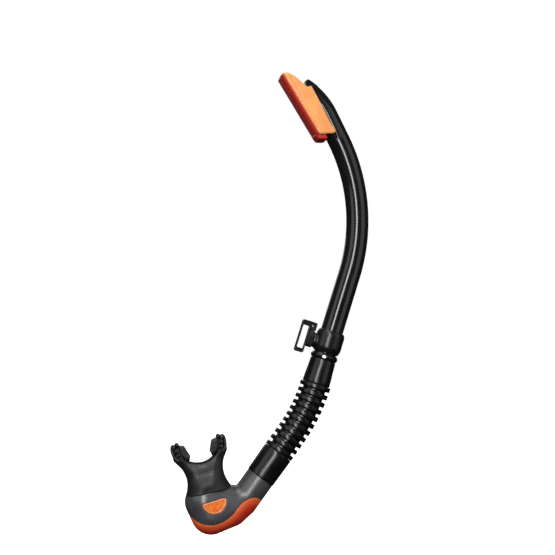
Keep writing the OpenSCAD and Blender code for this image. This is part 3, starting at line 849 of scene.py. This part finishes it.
def chamber_field(p):
    q = in_chamber(p)
    y = q[1]
    zone = cover_zone(q)
    full = skin(q)
    outer = least(smooth_max(full, -(zone + COVER_GAP), 0.5), skin(q, WALL_IN))
    recess = most(badge_zone(q) - 0.15, -(full + BADGE_DEPTH + 0.1))
    outer = smooth_max(outer, -recess, 0.35)
    room = least(pod(q, WALL_IN + WALL), most(pod(q, WALL), -(zone + WALL + 1)))

    neck_across, _, neck_up = local(q, NECK_END, NECK_LEAN)
    from_neck = np.hypot(neck_across, y)
    bore = most(from_neck - NECK_BORE_R, -neck_up)
    spigot = most(from_neck - SPIGOT_R, NECK_BORE_R - from_neck, NECK_LENGTH - 1 - neck_up,
                  neck_up - NECK_LENGTH - SPIGOT_LENGTH)

    valve_across, _, valve_up = local(q, VALVE, VALVE_LEAN)
    from_valve = np.hypot(valve_across, y)
    well = most(from_valve - WELL_R, WELL_LEVEL - valve_up)
    tube = most(from_valve - WELL_R - WELL_WALL, WELL_R - from_valve, WELL_LEVEL - valve_up,
                pod(q, WALL_IN))

    port_across, _, port_up = local(q, PORT, PORT_LEAN)
    above = most(-port_up, port_across - PORT_HALF)
    ring = stadium(port_across, y, PORT_RING_R)
    ring = most(ring, -ring - 1.6, -4 - port_up, port_up - PORT_RING_TOP)

    shell = smooth_max(smooth_max(outer, -least(room, bore), 0.5), -well, 0.3)
    return least(smooth_max(shell, -above, 0.5), spigot, ring, tube)


def cover_field(p):
    q = in_chamber(p)
    body = smooth_max(skin(q), -skin(q, COVER_T), 0.3)
    body = smooth_max(body, cover_zone(q), 0.7)
    across, y, up = local(q, VALVE, VALVE_LEAN)
    for i in range(SLOTS):
        slot = box2(across - (i - (SLOTS - 1) / 2) * SLOT_PITCH, np.abs(y) - 5, 1.1, 2.7, 1.1)
        body = smooth_max(body, -most(slot, 10 - up), 0.5)
    return body


def badge_field(side):
    """The form of one badge; side is -1 for the near one and 1 for the far one."""
    def field(p):
        q = in_chamber(p)
        zone = badge_zone(q)
        rim = BADGE_RIM * np.exp(-((zone + 0.75) / BADGE_RIM_WIDTH) ** 2)
        face = skin(q) + 0.12 - rim
        back = most(-(skin(q) + BADGE_DEPTH), -side * q[1])
        return smooth_max(smooth_max(face, zone, 0.4), back, 0.2)
    return field


# ---- mouthpiece ----

ARC_CENTRE = (5.1, 44.4)  # the arc that the tab's wall, plate and lug follow
PLATE_MIDDLE_R = 15.6
DIMPLES = 4
DIMPLE_R = 1.6
WALL_MIDDLE_R = 20.3
LUG_R = 13.4
LUG_HALF = 6.2
LUG_FACE = 7.6
LUG_TILT = math.radians(-20)
RIDGE_PITCH = 1.2
# Rounded studs at the ends of the tab: turn about the arc's centre, distance from it, y, radius
NUBS = [(-55, 13, 2.6, 2.2), (16, 15.5, 1.5, 2.0), (-52, 10.4, 4.6, 1.8), (3, 11.5, 3.5, 2.0)]
DUCT_WALL = 2.0
FOLD = 0.75
FOLD_PITCH = 15.5
WAIST_LEVEL = 15  # where the duct is narrowest
SOCKET_R = 13.5
SOCKET_TOP = 8.1


def bite_tab(across, y, up):
    """One bite tab, on the right: an outer wall and an inner lug, joined by a dimpled bite plate."""
    dx, dz = across - ARC_CENTRE[0], up - ARC_CENTRE[1]
    rho, angle = np.hypot(dx, dz), np.arctan2(dz, dx)
    side = np.abs(y)

    def ends(low, high):
        return most(math.radians(low) - angle, angle - math.radians(high)) * rho

    def spot(turn_deg, far):
        a = math.radians(turn_deg)
        return np.hypot(dx - far * math.cos(a), dz - far * math.sin(a))

    plate = smooth_max(box2(rho - PLATE_MIDDLE_R, y, 5.6, 1.7, 0.6), ends(-58, 17), 3.5)
    for i in range(DIMPLES):
        dimple = np.hypot(spot(-43 + 15 * i, PLATE_MIDDLE_R + 1), (side - 2.0) * 1.1) - DIMPLE_R
        plate = smooth_max(plate, -dimple, 0.4)
    half_height = np.maximum(6.8 - 5.2 * (angle + math.radians(24)) ** 2, 3.2)
    wall = smooth_max(box2(rho - WALL_MIDDLE_R, y, 1.2, half_height, 1.1), ends(-50, 12), 6)
    face = dx * math.cos(LUG_TILT) + dz * math.sin(LUG_TILT) - LUG_FACE + 0.1 * side
    along_face = dz * math.cos(LUG_TILT) - dx * math.sin(LUG_TILT)
    ridges = 0.13 * np.cos(along_face * 2 * math.pi / RIDGE_PITCH)
    lug = smooth_max(smooth_max(rho - LUG_R, side - LUG_HALF, 1.2), ends(-60, 13), 1.4)
    lug = smooth_max(lug, ridges - face, 0.7)
    nubs = least(*(np.hypot(spot(a, far), side - level) - radius for a, far, level, radius in NUBS))
    return smooth_min(smooth_min(smooth_min(plate, wall, 1.6), lug, 1.0), nubs, 0.8)


def mouth_field(p):
    across, y, up = local(in_chamber(p), PORT, PORT_LEAN)
    height = np.clip(up / 30, 0, 1)
    across = across + 0.9 * height ** 2  # the duct's rim leans a little to the left
    ease = height * height * (3 - 2 * height)
    fade = np.clip(1.2 - np.abs(across) / 16, 0, 1)
    half_d = 16.9 - 7.7 * ease + FOLD * np.cos((up - 8.5) * 2 * math.pi / FOLD_PITCH) * fade
    foot = np.clip((WAIST_LEVEL - up) / 15, 0, 1.3) ** 2 * 4.4
    flare = np.clip((up - WAIST_LEVEL) / 12, 0, 1.6) ** 2 * 2.9
    duct = box2(across, y, 17.9 + foot + flare, half_d, 0.97 * half_d) * 0.95
    bow = (across / 13) ** 2 * np.clip(1.25 - np.abs(across) / 60, 0, 1)
    rim_level = np.minimum(27.2 + 4.6 * bow, 36)
    wall = smooth_max(smooth_max(duct, -(duct + DUCT_WALL), 0.6), up - rim_level - 0.2, 1.6)
    wall = smooth_max(wall, 0.15 - up, 0.9)
    whole = smooth_min(wall, bite_tab(np.abs(across), y, up), 3.0)
    return most(whole, -most(stadium(across, y, SOCKET_R), up - SOCKET_TOP))


# ---- pieces that carry the forms above ----

def formed(name, field, body, material, cell, node):
    """Makes the piece that stands for a CAD node from a form, kept inside that node's box."""
    low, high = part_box(node)
    mesh = surface(field, [c * M for c in low], [c * M for c in high], cell)
    return make_object(name, *mesh, body, material, node)


def tag(piece, attribute, rule):
    """Gives a piece's vertices a value, 0 to 1, by a rule on their place in millimetres."""
    place = np.array([v.co for v in piece.data.vertices]).T * M
    layer = piece.data.attributes.new(attribute, "FLOAT", "POINT")
    layer.data.foreach_set("value", np.clip(rule(place), 0, 1).astype(np.float32))


def hood_painted_shade(p):
    """Painted shade: 1 on the hood's shaded front edge and on its inside, 0 on its cheeks."""
    v, y, u = local(p, HOOD_FOOT, HOOD_LEAN)
    front = (6.6 - v) / 2.2
    inside = (HOOD_HALF - 0.75 - np.abs(y)) / 0.5 * (v > 9) * (u < HOOD_OPEN + 2)
    return np.maximum(np.maximum(front, inside), (-1.5 - u) / 1.5 * (np.abs(y) < CHIN_HALF + 0.2))


def cover_painted_shade(p):
    """Painted shade: 1 under the cover's keel, which faces down, 0 near its upper edge."""
    return 0.95 * np.clip((-cover_zone(in_chamber(p)) - 1) / 6.5, 0, 1)


# The fifth value of each is the size of its grid's cells, in millimetres
formed("barrel_tube", barrel_field, "barrel", gloss_black, 0.5, "barrel")
tag(formed("splash_hood", hood_field, "barrel", hood_orange, 0.36, "hood"), "painted_shade", hood_painted_shade)
formed("collar", collar_field, "keeper", satin_black, 0.4, "keeper_collar")
formed("knurled_hub", hub_field, "loop", dull_black, 0.28, "swivel_hub")
formed("loop_frame", loop_field, "loop", satin_black, 0.25, "strap_loop")
formed("connector_flange", connector_field, "connector", satin_black, 0.4, "hose_connector")
hose = make_object("ribbed_hose", *turned(hose_outline(), hose_path), None, hose_black, "flex_hose")
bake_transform(hose)
formed("chamber_shell", chamber_field, "chamber", charcoal, 0.5, "chamber")
tag(formed("cover", cover_field, "chamber", cover_orange, 0.45, "purge_cover"), "painted_shade", cover_painted_shade)
for name, node, side in (("inlay_near", "badge_near", -1), ("inlay_far", "badge_far", 1)):
    piece = formed(name, badge_field(side), "chamber", inlay, 0.22, node)
    tag(piece, "rim", lambda p: np.exp(-((badge_zone(in_chamber(p)) + 0.4) / 0.45) ** 2))
# Painted shade on the mouthpiece, rising from 27 mm up the duct to its rim and bite tabs
tag(formed("bite_mouthpiece", mouth_field, "chamber", mouth_black, 0.42, "mouthpiece"), "painted_shade",
    lambda p: (local(in_chamber(p), PORT, PORT_LEAN)[2] - 27) / 8)

for node, material in (("splash_baffle", dull_black), ("swivel_stud", steel), ("swivel_washer", steel),
                       ("hose_o_ring", hose_black), ("connector_pin", steel), ("valve_seat", dull_black),
                       ("purge_valve", silicone)):
    mesh = frame["nodes"][node].data
    mesh.materials.clear()
    mesh.materials.append(material)


# ---- floor, light and camera ----

def floor():
    mesh = bpy.data.meshes.new("floor")
    size, level = 8.0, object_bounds()[0][2] - 0.12
    corners = [(-size, -size, level), (size, -size, level), (size, size, level), (-size, size, level)]
    mesh.from_pydata(corners, [], [(0, 1, 2, 3)])
    piece = bpy.data.objects.new("floor", mesh)
    bpy.context.scene.collection.objects.link(piece)
    n = Nodes("pale_floor")
    n.tree.links.new(n.mix(n.span(n.noise(3, 3), 0.0, 1.0), (0.86, 0.86, 0.86), (0.90, 0.90, 0.90)),
                     n.shader.inputs["Base Color"])
    n.shader.inputs["Roughness"].default_value = 0.9
    n.shader.inputs["Specular IOR Level"].default_value = 0.0
    n.shader.inputs["Emission Color"].default_value = (1, 1, 1, 1)
    n.shader.inputs["Emission Strength"].default_value = 0.72
    mesh.materials.append(n.material)
    piece.visible_glossy = False
    piece.visible_diffuse = False
    piece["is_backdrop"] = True


def direction(azimuth, elevation):
    """Points from a target to a lamp or the camera. Azimuth 0 is in front, at -Y, and 90 is at +X."""
    a, e = math.radians(azimuth), math.radians(elevation)
    return Vector((math.sin(a) * math.cos(e), -math.cos(a) * math.cos(e), math.sin(e)))


def area_light(name, azimuth, elevation, distance, width, height, power, target):
    """A soft box that looks at a target."""
    place = target + distance * direction(azimuth, elevation)
    light = bpy.data.lights.new(name, "AREA")
    light.shape, light.size, light.size_y, light.energy = "RECTANGLE", width, height, power
    lamp = bpy.data.objects.new(name, light)
    lamp.location = place
    lamp.rotation_euler = (target - place).to_track_quat("-Z", "Y").to_euler()
    bpy.context.scene.collection.objects.link(lamp)
    return lamp


def world(white, above, below, gloss):
    """A white backdrop that lights softly, more from above, and shows dimly in reflections."""
    scene_world = bpy.data.worlds.new("studio")
    scene_world.use_nodes = True
    bpy.context.scene.world = scene_world
    tree = scene_world.node_tree
    back = tree.nodes["Background"]
    path = tree.nodes.new("ShaderNodeLightPath")
    soft = tree.nodes.new("ShaderNodeMix")
    seen = tree.nodes.new("ShaderNodeMix")
    split = tree.nodes.new("ShaderNodeSeparateXYZ")
    height = tree.nodes.new("ShaderNodeMapRange")
    tree.links.new(tree.nodes.new("ShaderNodeTexCoord").outputs["Generated"], split.inputs[0])
    tree.links.new(split.outputs["Z"], height.inputs["Value"])
    for key, number in (("From Min", -0.5), ("From Max", 0.5), ("To Min", below), ("To Max", above)):
        height.inputs[key].default_value = number
    tree.links.new(height.outputs[0], soft.inputs[2])
    soft.inputs[3].default_value = gloss
    seen.inputs[3].default_value = white
    tree.links.new(path.outputs["Is Glossy Ray"], soft.inputs[0])
    tree.links.new(soft.outputs[0], seen.inputs[2])
    tree.links.new(path.outputs["Is Camera Ray"], seen.inputs[0])
    tree.links.new(seen.outputs[0], back.inputs["Strength"])
    back.inputs["Color"].default_value = (1, 1, 1, 1)


floor()
world(white=1.0, above=0.6, below=0.12, gloss=0.012)
CENTRE = Vector((-0.02486, 0, 0.05688))
area_light("key", -14, 16, 1.6, 0.36, 1.5, 19, CENTRE)
area_light("side", 52, 10, 1.6, 1.1, 1.6, 4, CENTRE)
area_light("left", -58, 22, 1.6, 0.9, 1.2, 3.5, CENTRE)
area_light("top", -20, 70, 1.5, 1.0, 1.0, 8, CENTRE)
area_light("back", 190, 30, 1.8, 1.2, 1.2, 6, CENTRE)

CAMERA_AZIMUTH = -8
CAMERA_ELEVATION = -4
CAMERA_DISTANCE = 1.0
camera_data = bpy.data.cameras.new("camera")
camera_data.sensor_width = 36
camera_data.lens = 66.9
camera = bpy.data.objects.new("camera", camera_data)
camera.location = CENTRE + CAMERA_DISTANCE * direction(CAMERA_AZIMUTH, CAMERA_ELEVATION)
camera.rotation_euler = (CENTRE - camera.location).to_track_quat("-Z", "Y").to_euler()
bpy.context.scene.collection.objects.link(camera)
bpy.context.scene.camera = camera
bpy.context.scene.view_settings.view_transform = "Standard"
